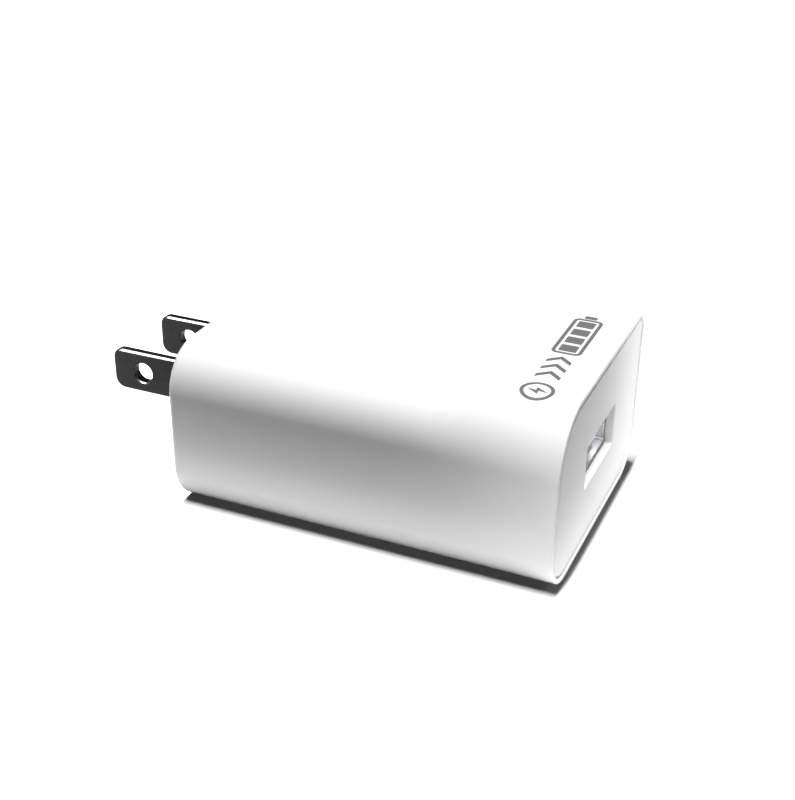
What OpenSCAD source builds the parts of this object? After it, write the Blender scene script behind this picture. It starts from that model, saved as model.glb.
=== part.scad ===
// USB wall charger: a rounded-box sleeve with two fixed flat blades at one end
// and a USB-A socket in an inset cover at the other, with its circuit inside.
// Millimetres. The origin is on the plug face, midway between the blades at
// their mid-height. +X runs from the wall to the USB end, +Z is up.

/* [Housing] */
// Length of the sleeve, from the plug face to the rim
body_l = 54.4; // [50:0.1:60]
// Width of the sleeve
body_w = 39.2; // [36:0.1:44]
// Height at the plug end
rear_h = 23.7; // [23:0.1:25]
// Height at the USB end
front_h = 24.9; // [24:0.1:27]
// Where the step in the top face begins
step_from = 36; // [30:0.5:38]
// Where the step in the top face ends
step_to = 43.5; // [40:0.5:46]
// Radius of the near top edge at the plug end
near_r_rear = 6.5; // [5:0.1:7]
// Radius of the near top edge at the USB end
near_r_front = 8.1; // [6:0.1:8.5]
// Radius of the far top edge
far_r = 3.0; // [3:0.1:5]
// Radius of the two base edges
base_r = 6.3; // [5:0.1:6.5]
// Rounding of the edge round the plug face
rear_edge_r = 0.9; // [0.5:0.1:1.4]
// Rounding of the rim's outer edge
rim_edge_r = 0.2; // [0.1:0.05:0.3]
// Thickness of the side walls
wall = 1.8; // [1.6:0.1:2]
// Thickness of the end wall that holds the blades
plug_wall = 3.2; // [2.5:0.1:4]

/* [Front cover] */
// Thickness of the rim round the cover
rim_t = 0.7; // [0.6:0.05:0.9]
// Depth of the cover's face behind the rim
cover_recess = 0.1; // [0:0.05:0.3]
// Thickness of the cover plate
cover_t = 1.6; // [1.4:0.1:2]
// Gap between the cover's edge and the rim
cover_gap = 0.08; // [0.05:0.01:0.15]
// Length of the cover's skirt inside the sleeve
skirt_l = 4; // [2:0.5:5]
// Thickness of the cover's skirt
skirt_t = 1; // [0.8:0.1:1.2]
// Width of the socket's cut-out
port_w = 13.2; // [13.2:0.1:14]
// Height of the socket's cut-out
port_h = 6.4; // [5.9:0.1:7]
// Corner radius of the cut-out
port_r = 0.5; // [0.3:0.1:1]
// Thickness of the plate round the cut-out
port_lip = 1.1; // [0.8:0.1:1.2]

/* [Plug blades] */
// Width of a blade
blade_w = 6.35; // [6.2:0.05:6.5]
// Thickness of a blade
blade_t = 1.52; // [1.4:0.01:1.6]
// Distance between the blades' centre planes
blade_pitch = 12.7; // [12.7]
// Length of a blade outside the plug face
blade_l = 17.3; // [15.9:0.1:18.3]
// Height of the blades' centre line above the base
blade_height = 12.5; // [12:0.1:13]
// Diameter of the hole in a blade
hole_d = 3.1; // [3:0.05:3.3]
// Distance of the hole from the plug face
hole_x = 12.3; // [11.5:0.1:12.5]
// Bevel along a blade's edges
blade_bevel = 0.35; // [0.2:0.05:0.5]
// Length of a blade's tail inside the housing
tail_l = 6.8; // [6:0.1:7]

/* [USB socket] */
// Outer width of the metal shell
shell_w = 13.1; // [13.1]
// Outer height of the metal shell
shell_h = 5.72; // [5.72]
// Thickness of the shell's sheet
shell_t = 0.3; // [0.3]
// Length of the shell
shell_l = 13; // [12:0.1:14]
// Width of the tongue
tongue_w = 11.1; // [11.1]
// Thickness of the tongue
tongue_t = 1.84; // [1.84]
// Depth of the tongue's tip behind the shell's mouth
tongue_setback = 0.9; // [0.5:0.1:1.5]
// Width of a contact strip
contact_w = 1; // [0.9:0.1:1.2]
// Thickness of a contact strip
contact_t = 0.2; // [0.15:0.05:0.25]

/* [Board and its parts] */
// Length of the circuit board
board_l = 45.5; // [44:0.5:46]
// Width of the circuit board
board_w = 31; // [30:0.5:32]
// Thickness of the circuit board
board_t = 1.6; // [1.6]
// Diameter of the electrolytic capacitors
can_d = 8; // [6.3, 8]
// Length of the electrolytic capacitors
can_l = 11.6; // [10:0.1:11.6]
// Length and width of the transformer's core
core_l = 16; // [16]
// Thickness of the transformer's core
core_t = 4.8; // [4.5:0.1:5]
// Diameter of the safety capacitor's disc
disc_d = 8; // [6:0.5:8]

/* [Hidden] */

arc_n = 10;              // facets in each rounded edge of the sleeve
edge_n = 4;              // facets across the small roundings at its ends
step_n = 10;             // slices through the step in the top face
base_z = -blade_height;
cover_front = body_l - cover_recess;
cover_back = cover_front - cover_t;
shell_front = cover_front - port_lip;
shell_back = shell_front - shell_l;
tongue_front = shell_front - tongue_setback;
shell_in_w = shell_w - 2 * shell_t;
shell_in_h = shell_h - 2 * shell_t;
insulator_l = 2;         // length of the socket's insulator block behind the tongue
standoff = 0.54;         // gap between the socket's shell and the board
board_z = shell_h / 2 + standoff;
board_top = board_z + board_t;
board_x = 5.5;
shelf_front = cover_back - skirt_l - 1;
shelf_t = 1.2;           // thickness of the ledges that carry the board
shelf_gap = 0.12;        // play between a ledge and the board
shelf_lap = 0.4;         // how far a ledge reaches over the board's edge
shelf_d = body_w / 2 - wall - board_w / 2 + shelf_lap;
contact_y = [-3.5, -1, 1, 3.5];      // the pitch is wider to the outer contacts, as in any USB-A socket
contact_x = shell_back - 0.9;        // where the contacts turn up to the board

// Places along the board. The mains side is at the plug end, and the large
// parts hang below the board.
can_gap = 0.2;           // gap between a part's body and the board it stands on
can_lead = 1.75;         // distance of each lead from the can's middle
sleeve_t = 0.1;
input_can = [16, 10.6];
output_can = [45.2, 11];
cans = [
    [input_can[0], -input_can[1]], [input_can[0], input_can[1]],
    [output_can[0], -output_can[1]], [output_can[0], output_can[1]]
];
lead_d = 0.6;
resistor_r = 1.5;
resistor_l = 7.2;
resistor_bend = 0.6;     // distance from the resistor's end to the bend in its lead
resistor_x = plug_wall + tail_l - 2.4;
resistor_z = 1.6;
choke_x = 16;
choke_h = 7.5;
choke_r = 3;
choke_waist = 1.4;
choke_plate = 1;
choke_wound_r = 2.6;
bridge_at = [11.5, 2.5];
bridge_size = [3.9, 4.7, 2.4];
controller_at = [17.6, -3.6];
controller_size = [3.9, 4.9, 1.5];
diode_at = [44.5, 3.6];
diode_size = [4.6, 3.9, 2.2];
core_x = 30;
opto_y = -12.4;
opto_size = [6.4, 4.6, 3.4];
disc_t = 4;
disc_y = 12.6;
disc_z = board_z - 1.2 - disc_d / 2;
disc_lead = 2.5;         // distance of each lead from the disc's middle
disc_foot = disc_z + disc_d / 4;

// The transformer: two ferrite E halves round a bobbin, pins up.
plate_t = 2.2;
leg_t = 1.9;
centre_leg = 4;
core_play = 0.1;         // gap between the ferrite and the bobbin
bobbin_t = 0.8;
flange_h = 10.6;
pin_l = 1;               // length of a pin between the bobbin and the board
core_z = board_z - pin_l - flange_h / 2;
window = core_l / 2 - plate_t;
flange_x = window - 0.2;
tube_y = centre_leg / 2 + core_play + bobbin_t;
tube_z = core_t / 2 + core_play + bobbin_t;
wind_y = core_l / 2 - leg_t - 0.8;
wind_z = flange_h / 2 - 0.5;
wind_l = 2 * (flange_x - bobbin_t);
wind_r = 1.5;
tape_t = 0.15;
pin_x = window + 1.5;
pin_y = [-5, -2.5, 0, 2.5, 5];
$fn = 48;

white = "white";
dark_nickel = "#4a4b4e";
tinned = "#c9cbcd";
copper = "#b87333";
black_resin = "#1d1e20";

// ---- sleeve -----------------------------------------------------------------

function smooth(t) = let(u = min(1, max(0, t))) u * u * (3 - 2 * u);
function step_at(x) = smooth((x - step_from) / (step_to - step_from));
function top_at(x) = base_z + rear_h + (front_h - rear_h) * step_at(x);
function near_r_at(x) = near_r_rear + (near_r_front - near_r_rear) * step_at(x);

// Points of a quarter arc about (cy, cz), from angle a on.
function quarter(cy, cz, r, a) =
    [for (i = [0:arc_n]) [cy + r * cos(a + 90 * i / arc_n), cz + r * sin(a + 90 * i / arc_n)]];

// A ledge on a side wall: out from y to y + d between the heights z1 and z0.
function ledge(y, d, z1, z0) = [[y, z1], [y + d, z1], [y + d, z0], [y, z0]];

// The sleeve's section at x, moved inwards by inset, with ledges d deep. It
// runs anticlockwise as seen from the USB end, starting on the far side.
function section(x, inset, d) =
    let(
        y = body_w / 2 - inset,
        top = top_at(x) - inset,
        low = base_z + inset,
        rn = near_r_at(x) - inset,
        rf = far_r - inset,
        rb = base_r - inset,
        under = board_z - shelf_gap,
        over = board_top + shelf_gap
    )
    concat(
        quarter(y - rf, top - rf, rf, 0),
        quarter(-y + rn, top - rn, rn, 90),
        ledge(-y, d, under, under - shelf_t),
        quarter(-y + rb, low + rb, rb, 180),
        quarter(y - rb, low + rb, rb, 270),
        ledge(y, -d, under - shelf_t, under),
        ledge(y, -d, over, over + shelf_t)
    );

function ring(x, inset, d = 0) = [for (p = section(x, inset, d)) [x, p[0], p[1]]];

// Each ring as [x, inset, ledge depth]: over the plug edge, along the outside,
// round the rim, down to the cover's seat and back along the inside.
function plug_edge() = [for (i = [0:edge_n]) let(a = 90 * i / edge_n)
    [rear_edge_r * (1 - cos(a)), rear_edge_r * (1 - sin(a)), 0]];
function steps() = [for (i = [0:step_n]) step_from + (step_to - step_from) * i / step_n];
function rim_edge() = [for (i = [0:edge_n]) let(a = 90 * i / edge_n)
    [body_l - rim_edge_r * (1 - sin(a)), rim_edge_r * (1 - cos(a)), 0]];
function inner_steps() = [for (i = [step_n:-1:0]) [steps()[i], wall, shelf_d]];

rings = concat(
    plug_edge(),
    [for (x = steps()) [x, 0, 0]],
    rim_edge(),
    [[body_l, rim_t, 0], [cover_back, rim_t, 0], [cover_back, wall, 0]],
    [[shelf_front, wall, 0], [shelf_front - shelf_lap, wall, shelf_d]],
    inner_steps(),
    [[plug_wall + 2 * shelf_lap, wall, shelf_d], [plug_wall + shelf_lap, wall, 0], [plug_wall, wall, 0]]
);

// A closed cup through all the rings. A fan about a middle point caps it at
// each end of the list.
module cup(rings) {
    n = len(section(0, 0, 0));
    m = len(rings);
    first = n * m;
    last = first + 1;
    points = concat(
        [for (r = rings) each ring(r[0], r[1], r[2])],
        [[rings[0][0], 0, 0], [rings[m - 1][0], 0, 0]]
    );
    sides = [for (k = [0:m - 2]) for (i = [0:n - 1])
        let(a = k * n + i, b = k * n + (i + 1) % n)
        each [[a, a + n, b + n], [a, b + n, b]]];
    caps = [for (i = [0:n - 1])
        let(j = (i + 1) % n, e = (m - 1) * n)
        each [[first, i, j], [last, e + j, e + i]]];
    polyhedron(points = points, faces = concat(sides, caps), convexity = 8);
}

module housing() {
    color(white)
    difference() {
        cup(rings);
        for (side = [-1, 1])
            translate([plug_wall / 2, side * blade_pitch / 2, 0])
                cube([plug_wall * 2, blade_t, blade_w], center = true);
    }
}

// ---- front cover ------------------------------------------------------------

// The sleeve's section at the USB end moved inwards, as a flat outline with y
// across and z up.
module end_outline(inset) {
    y = body_w / 2 - inset;
    top = base_z + front_h - inset;
    low = base_z + inset;
    rn = near_r_front - inset;
    rf = far_r - inset;
    rb = base_r - inset;
    union() {
        translate([-y + rn, top - rn]) circle(r = rn);
        translate([y - rf, top - rf]) circle(r = rf);
        translate([-y + rb, low + rb]) circle(r = rb);
        translate([y - rb, low + rb]) circle(r = rb);
        polygon([
            [-y, low + rb], [-y + rb, low], [y - rb, low], [y, low + rb],
            [y, top - rf], [y - rf, top], [-y + rn, top], [-y, top - rn]
        ]);
    }
}

// A rounded rectangle about the origin.
module rounded_box_outline(w, h, r) {
    union() {
        square([w - 2 * r, h], center = true);
        square([w, h - 2 * r], center = true);
        for (sy = [-1, 1]) for (sz = [-1, 1])
            translate([sy * (w / 2 - r), sz * (h / 2 - r)]) circle(r = r);
    }
}

// Stands a flat y-z outline up and extrudes it from x0 to x1.
module along_x(x0, x1) {
    translate([x0, 0, 0]) rotate([90, 0, 90]) linear_extrude(x1 - x0) children();
}

module front_cover() {
    pocket_w = shell_w + 1.5;
    pocket_h = shell_h + 1.7;
    color(white)
    difference() {
        union() {
            along_x(cover_back, cover_front) end_outline(rim_t + cover_gap);
            along_x(cover_back - skirt_l, cover_back) difference() {
                end_outline(wall + cover_gap);
                end_outline(wall + cover_gap + skirt_t);
            }
        }
        along_x(cover_back - 1, cover_front + 1) rounded_box_outline(port_w, port_h, port_r);
        along_x(cover_back - 1, shell_front) square([pocket_w, pocket_h], center = true);
    }
}

// ---- plug blades ------------------------------------------------------------

// Flat outline of a blade, x along it and z across: rounded tip, shoulder
// behind the end wall, narrower tail.
module blade_outline() {
    tip_r = 1.6;
    shoulder_w = 9;
    shoulder_l = 1.2;
    tail_w = 4;
    union() {
        translate([-blade_l + tip_r, -blade_w / 2]) square([blade_l - tip_r + plug_wall, blade_w]);
        translate([-blade_l, -blade_w / 2 + tip_r]) square([2 * tip_r, blade_w - 2 * tip_r]);
        for (s = [-1, 1])
            translate([-blade_l + tip_r, s * (blade_w / 2 - tip_r)]) circle(r = tip_r);
        translate([plug_wall, -shoulder_w / 2]) square([shoulder_l, shoulder_w]);
        translate([plug_wall, -tail_w / 2]) square([tail_l, tail_w]);
    }
}

// Section of a blade with its long edges bevelled, y across and z up.
module blade_section(w) {
    t = blade_t / 2;
    b = blade_bevel;
    polygon([
        [-t, -w / 2 + b], [-t + b, -w / 2], [t - b, -w / 2], [t, -w / 2 + b],
        [t, w / 2 - b], [t - b, w / 2], [-t + b, w / 2], [-t, w / 2 - b]
    ]);
}

module blade(side) {
    color(dark_nickel)
    translate([0, side * blade_pitch / 2, 0])
    difference() {
        intersection() {
            translate([0, blade_t / 2, 0]) rotate([90, 0, 0]) linear_extrude(blade_t) blade_outline();
            union() {
                along_x(-blade_l - 1, 0) blade_section(blade_w);
                translate([0, -blade_t, -blade_w]) cube([plug_wall + tail_l + 1, 2 * blade_t, 2 * blade_w]);
            }
        }
        translate([-hole_x, 0, 0]) rotate([90, 0, 0]) cylinder(d = hole_d, h = 2 * blade_t, center = true);
    }
}

// Leaf that presses on a blade's tail and is soldered to the board.
module blade_contact(side) {
    leaf_t = 0.3;
    leaf_l = 3;
    foot_w = 3;
    leaf_low = -1.8;
    tail_over = 0.6;         // how far the tail reaches past the leaf
    y = blade_pitch / 2 + blade_t / 2;
    x = plug_wall + tail_l - leaf_l - tail_over;
    color("#c8a35a")
    union() {
        translate([x, side > 0 ? y : -y - leaf_t, leaf_low]) cube([leaf_l, leaf_t, board_z - leaf_low]);
        translate([x, side > 0 ? y : -y - foot_w, board_z - leaf_t]) cube([leaf_l, foot_w, leaf_t]);
    }
}

// ---- USB socket -------------------------------------------------------------

module usb_shell() {
    flange_w = 0.45;
    flange_back = cover_back + 0.1;
    tab_l = 2;
    tab_x = shell_back + 2 * tab_l;
    color(tinned)
    union() {
        along_x(shell_back, shell_front) difference() {
            square([shell_w, shell_h], center = true);
            square([shell_in_w, shell_in_h], center = true);
        }
        along_x(flange_back, flange_back + shell_t) difference() {
            square([shell_w + 2 * flange_w, shell_h + 2 * flange_w], center = true);
            square([shell_w, shell_h], center = true);
        }
        for (side = [-1, 1])
            translate([tab_x, side * (shell_w / 2 - shell_t / 2) - shell_t / 2, shell_h / 2])
                cube([tab_l, shell_t, standoff]);
    }
}

// Strip along the tongue's upper face, through the insulator and up to the
// board, as an x-z outline.
module contact_strip(y) {
    tip = tongue_front - 0.7;
    translate([0, y + contact_w / 2, 0]) rotate([90, 0, 0]) linear_extrude(contact_w)
        polygon([
            [tip, 0], [tip, contact_t], [contact_x + contact_t, contact_t],
            [contact_x + contact_t, board_z], [contact_x, board_z], [contact_x, 0]
        ]);
}

module usb_contact(i) {
    color("#d9b45b") contact_strip(contact_y[i]);
}

module usb_tongue() {
    clear = 0.04;
    color(white)
    difference() {
        union() {
            translate([shell_back, -shell_in_w / 2 + clear, -shell_in_h / 2 + clear])
                cube([insulator_l, shell_in_w - 2 * clear, shell_in_h - 2 * clear]);
            translate([shell_back + insulator_l, -tongue_w / 2, -tongue_t])
                cube([tongue_front - shell_back - insulator_l, tongue_w, tongue_t]);
        }
        for (y = contact_y) contact_strip(y);
    }
}

// ---- circuit board ----------------------------------------------------------

module main_board() {
    gap_w = 1;
    gap_l = 5.5;
    color("#1f6b3a")
    difference() {
        translate([board_x, -board_w / 2, board_z]) cube([board_l, board_w, board_t]);
        translate([core_x - gap_w / 2, opto_y - gap_l / 2, board_z - 1])
            cube([gap_w, gap_l, board_t + 2]);
    }
}

// Aluminium can that hangs from the board, with the pressed groove near its
// rubber end.
module can(at) {
    r = can_d / 2 - sleeve_t;
    groove = 0.5;
    groove_z = can_l - 1.6;
    color(tinned)
    translate([at[0], at[1], board_z - can_gap - can_l])
    difference() {
        cylinder(r = r, h = can_l);
        translate([0, 0, groove_z]) rotate_extrude() translate([r, 0]) circle(r = groove, $fn = 24);
    }
}

module capacitor_sleeves() {
    r = can_d / 2;
    sleeve_l = can_l - 2.4;
    color("#20242c")
    for (at = cans)
        translate([at[0], at[1], board_z - can_gap - can_l])
            difference() {
                cylinder(r = r, h = sleeve_l);
                translate([0, 0, -1]) cylinder(r = r - sleeve_t, h = can_l);
            }
}

// ---- small through-hole parts -----------------------------------------------

module fusible_resistor() {
    cap_l = 1.6;
    waist = 0.88;
    color("#8fb8b4")
    translate([resistor_x, 0, resistor_z]) rotate([90, 0, 0])
    union() {
        cylinder(r = resistor_r * waist, h = resistor_l, center = true);
        for (s = [-1, 1]) translate([0, 0, s * (resistor_l - cap_l) / 2])
            cylinder(r = resistor_r, h = cap_l, center = true);
    }
}

module choke_core() {
    color("#3b3b3d")
    translate([choke_x, 0, board_z - can_gap - choke_h])
    union() {
        cylinder(r = choke_r, h = choke_plate);
        cylinder(r = choke_waist, h = choke_h);
        translate([0, 0, choke_h - choke_plate]) cylinder(r = choke_r, h = choke_plate);
    }
}

module choke_winding() {
    color(copper)
    translate([choke_x, 0, board_z - can_gap - choke_h + choke_plate])
    difference() {
        cylinder(r = choke_wound_r, h = choke_h - 2 * choke_plate);
        translate([0, 0, -1]) cylinder(r = choke_waist, h = choke_h);
    }
}

// Lens-shaped disc: a cylinder whose rim is rounded.
module y_capacitor() {
    edge = 1.2;
    color("#2f62b5")
    difference() {
        translate([core_x, disc_y, disc_z]) rotate([90, 0, 0])
        rotate_extrude()
        union() {
            translate([0, -disc_t / 2]) square([disc_d / 2 - edge, disc_t]);
            translate([0, -disc_t / 2 + edge]) square([disc_d / 2, disc_t - 2 * edge]);
            for (s = [-1, 1]) translate([disc_d / 2 - edge, s * (disc_t / 2 - edge)])
                circle(r = edge, $fn = 24);
        }
        for (s = [-1, 1])
            translate([core_x + s * disc_lead, disc_y, disc_foot]) cylinder(d = lead_d, h = disc_d);
    }
}

// Chip package with a row of bent leads on two sides. It lies on the board's
// upper face when up is true, and hangs below it otherwise.
module package(at, size, leads, pitch, up) {
    stand = 0.15;
    lead_w = 0.4;
    reach = 0.9;
    riser_t = 0.2;
    z = up ? board_top : board_z;
    turn = up ? 0 : 180;
    translate([at[0], at[1], z]) rotate([turn, 0, 0]) {
        translate([-size[0] / 2, -size[1] / 2, stand]) cube(size);
        for (side = [-1, 1]) for (i = [0:leads - 1])
            translate([side * (size[0] / 2 + reach / 2), (i - (leads - 1) / 2) * pitch, 0]) {
                translate([-reach / 2, -lead_w / 2, 0]) cube([reach, lead_w, stand]);
                translate([side > 0 ? -reach / 2 : reach / 2 - riser_t, -lead_w / 2, 0])
                    cube([riser_t, lead_w, stand + size[2] / 2]);
            }
    }
}

module bridge_rectifier() {
    color(black_resin) package(bridge_at, bridge_size, 2, 2.5, true);
}

module controller_ic() {
    color(black_resin) package(controller_at, controller_size, 4, 1.27, true);
}

module optocoupler() {
    color(black_resin) package([core_x, opto_y], opto_size, 2, 2.54, false);
}

module output_diode() {
    color(black_resin) package(diode_at, diode_size, 1, 1, true);
}

// ---- transformer ------------------------------------------------------------

// One ferrite E, its back plate towards side and its legs meeting at the
// middle of the transformer.
module core_half(side) {
    gap = 0.02;
    color("#2c2d31")
    translate([core_x, 0, core_z - core_t / 2]) rotate([0, 0, side < 0 ? 0 : 180])
    linear_extrude(core_t) union() {
        translate([-core_l / 2, -core_l / 2]) square([plate_t, core_l]);
        for (s = [-1, 1])
            translate([-core_l / 2, s * (core_l - leg_t) / 2 - leg_t / 2])
                square([core_l / 2 - gap, leg_t]);
        translate([-core_l / 2, -centre_leg / 2]) square([core_l / 2 - gap, centre_leg]);
    }
}

module transformer_bobbin() {
    rail_l = 3.4;
    rail_w = 14;
    rail_z = core_t / 2 + 0.15;
    flange_w = 2 * wind_y + 0.8;
    color("#20201f")
    translate([core_x, 0, core_z])
    difference() {
        union() {
            along_x(-flange_x, flange_x) square([2 * tube_y, 2 * tube_z], center = true);
            for (s = [-1, 1]) {
                x = s > 0 ? flange_x - bobbin_t : -flange_x;
                rail_x = s > 0 ? x : x - rail_l + bobbin_t;
                along_x(x, x + bobbin_t) square([flange_w, flange_h], center = true);
                translate([rail_x, -rail_w / 2, rail_z]) cube([rail_l, rail_w, flange_h / 2 - rail_z]);
            }
        }
        along_x(-window - 2, window + 2)
            square([centre_leg + 2 * core_play, core_t + 2 * core_play], center = true);
    }
}

// The layers of wire, a block wrapped round the bobbin's tube.
module transformer_winding() {
    color(copper)
    translate([core_x, 0, core_z])
    along_x(-wind_l / 2, wind_l / 2) difference() {
        rounded_box_outline(2 * wind_y, 2 * wind_z, wind_r);
        square([2 * tube_y, 2 * tube_z], center = true);
    }
}

module transformer_tape() {
    color("#e3b83a")
    translate([core_x, 0, core_z])
    along_x(-wind_l / 2, wind_l / 2) difference() {
        rounded_box_outline(2 * (wind_y + tape_t), 2 * (wind_z + tape_t), wind_r + tape_t);
        rounded_box_outline(2 * wind_y, 2 * wind_z, wind_r);
    }
}

module transformer_pins() {
    color(tinned)
    for (s = [-1, 1]) for (y = pin_y)
        translate([core_x + s * pin_x, y, core_z + flange_h / 2])
            cylinder(d = lead_d, h = board_z - core_z - flange_h / 2);
}

// ---- groups of identical small parts ----------------------------------------

// Rows of chips on the board's upper face, the first of them at from.
module chips(from, step, columns, size) {
    for (i = [0:columns - 1]) for (j = [0:1])
        translate([from[0] + step[0] * i - size[0] / 2, from[1] + step[1] * j - size[1] / 2, board_top])
            cube(size);
}

module chip_resistors() {
    color("#202022") chips([25.6, 2.5], [2.8, 4.5], 4, [1.6, 3.2, 0.55]);
}

module chip_capacitors() {
    color("#b79a6a") chips([42, -6.6], [2.8, 4.4], 3, [1.6, 3.2, 1.1]);
}

// Every through-hole lead that the board takes, as [x, y, height of its foot].
leads = concat(
    [for (c = cans) for (s = [-1, 1]) [c[0], c[1] + s * can_lead, board_z - can_gap]],
    [for (s = [-1, 1]) [resistor_x, s * (resistor_l / 2 + resistor_bend), resistor_z]],
    [for (s = [-1, 1]) [core_x + s * disc_lead, disc_y, disc_foot]]
);

module component_leads() {
    resistor_stub = resistor_bend + lead_d / 2;
    color(tinned) union() {
        for (p = leads)
            translate([p[0], p[1], p[2]]) cylinder(d = lead_d, h = board_z - p[2]);
        for (s = [-1, 1])
            translate([resistor_x, s * (resistor_l + resistor_stub) / 2, resistor_z]) rotate([90, 0, 0])
                cylinder(d = lead_d, h = resistor_stub, center = true);
    }
}

module solder_joints() {
    foot_r = 0.85;
    tip_r = 0.35;
    joint_h = 0.8;
    joints = concat(
        [for (p = leads) [p[0], p[1]]],
        [for (s = [-1, 1]) for (y = pin_y) [core_x + s * pin_x, y]],
        [for (y = contact_y) [contact_x + contact_t / 2, y]]
    );
    color(tinned)
    for (p = joints)
        translate([p[0], p[1], board_top]) cylinder(r1 = foot_r, r2 = tip_r, h = joint_h, $fn = 24);
}

module insulating_sheet() {
    card = [38, 24, 0.3];
    card_x = 9;
    lift = 0.05;
    color("#c9bfa6")
    translate([card_x, -card[1] / 2, base_z + wall + lift]) cube(card);
}

// ---- drawing ----------------------------------------------------------------

housing();
front_cover();
blade(-1);  // line_blade
blade(1);  // neutral_blade
usb_shell();
usb_tongue();
usb_contact(0);  // usb_contact_1
usb_contact(1);  // usb_contact_2
usb_contact(2);  // usb_contact_3
usb_contact(3);  // usb_contact_4
blade_contact(-1);  // line_contact
blade_contact(1);  // neutral_contact
main_board();
fusible_resistor();
bridge_rectifier();
can(cans[0]);  // input_capacitor_1
can(cans[1]);  // input_capacitor_2
can(cans[2]);  // output_capacitor_1
can(cans[3]);  // output_capacitor_2
capacitor_sleeves();
choke_core();
choke_winding();
core_half(-1);  // transformer_core_primary
core_half(1);  // transformer_core_secondary
transformer_bobbin();
transformer_winding();
transformer_tape();
transformer_pins();
controller_ic();
optocoupler();
y_capacitor();
output_diode();
chip_resistors();
chip_capacitors();
component_leads();
solder_joints();
insulating_sheet();
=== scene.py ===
"""Looks of a USB wall charger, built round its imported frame.

A white moulded sleeve with a rounded-box section carries two plated blades at
one end and an inset cover with a USB-A socket at the other. Lengths are in
metres, in the frame of the part: the origin is on the plug face, +X runs to
the USB end and +Z is up.
"""

import logging
import math
from dataclasses import dataclass, field
from enum import Enum

import bmesh
import bpy
import numpy as np
from mathutils import Matrix, Vector
from mathutils.geometry import delaunay_2d_cdt

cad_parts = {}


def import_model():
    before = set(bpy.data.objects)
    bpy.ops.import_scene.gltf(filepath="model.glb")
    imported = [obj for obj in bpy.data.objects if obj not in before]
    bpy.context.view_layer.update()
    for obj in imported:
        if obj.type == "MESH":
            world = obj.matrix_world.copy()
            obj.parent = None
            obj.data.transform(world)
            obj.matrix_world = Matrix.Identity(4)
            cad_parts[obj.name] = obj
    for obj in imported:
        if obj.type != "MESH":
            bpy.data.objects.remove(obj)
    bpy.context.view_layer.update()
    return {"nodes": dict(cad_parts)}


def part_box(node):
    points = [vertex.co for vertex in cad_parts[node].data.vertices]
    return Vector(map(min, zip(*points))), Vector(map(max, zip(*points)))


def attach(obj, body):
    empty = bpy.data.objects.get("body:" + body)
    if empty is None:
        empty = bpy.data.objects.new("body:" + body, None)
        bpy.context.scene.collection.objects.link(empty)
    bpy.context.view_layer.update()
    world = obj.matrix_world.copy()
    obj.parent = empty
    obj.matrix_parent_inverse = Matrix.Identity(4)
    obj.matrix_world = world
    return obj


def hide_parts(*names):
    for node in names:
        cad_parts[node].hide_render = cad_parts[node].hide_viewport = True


LOG = logging.getLogger("charger")
MM = 0.001
BODY = "root"
CONTACTS = range(1, 5)
Array = np.ndarray
MERGE = 0.5e-6  # Points closer than this, in metres, become one.
TOUCH = 1e-6  # The same between the corners of a flat face, in millimetres.
MITRE = 0.2  # The least squared length of two summed normals: it blunts a very sharp corner.
CLOUD = 0.12  # Scale of a finish's cloudy tone, times its grain: the clouds are some eight grains wide.
WAVE = math.tau / 20  # The wave texture repeats at this spacing when its scale is 1.


# ---- surfaces ----------------------------------------------------------------


class Flat(Enum):
    """The plane in which a flat face is divided: the two axes that span it."""

    YZ = (1, 2)
    XZ = (0, 2)
    XY = (0, 1)


def smooth(t: Array | float) -> Array:
    """Smoothstep: three t squared less two t cubed, held at 0 and 1 outside."""
    u = np.clip(t, 0.0, 1.0)
    return u * u * (3.0 - 2.0 * u)


def arc(centre: tuple[float, float], radius: float, start: float, sweep: float, count: int) -> Array:
    """Points on a circle: the centre plus the radius times (cosine, sine) of an even run of angles.

    Args:
        centre: the circle's middle.
        radius: its radius.
        start: the first angle, in degrees.
        sweep: how far the arc turns, in degrees.
        count: how many points it has.

    Returns:
        An array of count points.
    """
    angle = np.radians(start + sweep * np.linspace(0.0, 1.0, count))
    return np.array(centre) + radius * np.stack([np.cos(angle), np.sin(angle)], 1)


def circle(centre: tuple[float, float], radius: float, count: int) -> Array:
    """Even points all the way round a circle, with none of them twice."""
    return arc(centre, radius, 0, 360 - 360 / count, count)


def rounded_box(width: float, height: float, radius: float, count: int = 8) -> Array:
    """A rectangle about the origin whose corners are quarter circles.

    Args:
        width: its whole width.
        height: its whole height.
        radius: the radius of its corners.
        count: how many points each corner has.

    Returns:
        The points, anticlockwise from the right side.
    """
    y, z = width / 2 - radius, height / 2 - radius
    corners = [((y, z), 0), ((-y, z), 90), ((-y, -z), 180), ((y, -z), 270)]
    return np.concatenate([arc(c, radius, start, 90, count) for c, start in corners])


def resample(outline: Array, count: int, start: tuple[float, float] | None = None) -> Array:
    """Spreads points evenly along a closed outline, by the length run along it.

    Args:
        outline: the outline's corners.
        count: how many points to return.
        start: the corner nearest this point becomes the first.

    Returns:
        An array of count points.
    """
    if start is not None:
        first = int(np.argmin(np.linalg.norm(outline - np.array(start), axis=1)))
        outline = np.roll(outline, -first, axis=0)
    loop = np.vstack([outline, outline[:1]])
    run = np.concatenate([[0.0], np.cumsum(np.linalg.norm(np.diff(loop, axis=0), axis=1))])
    at = np.linspace(0.0, run[-1], count, endpoint=False)
    return np.stack([np.interp(at, run, loop[:, k]) for k in range(2)], 1)


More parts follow.
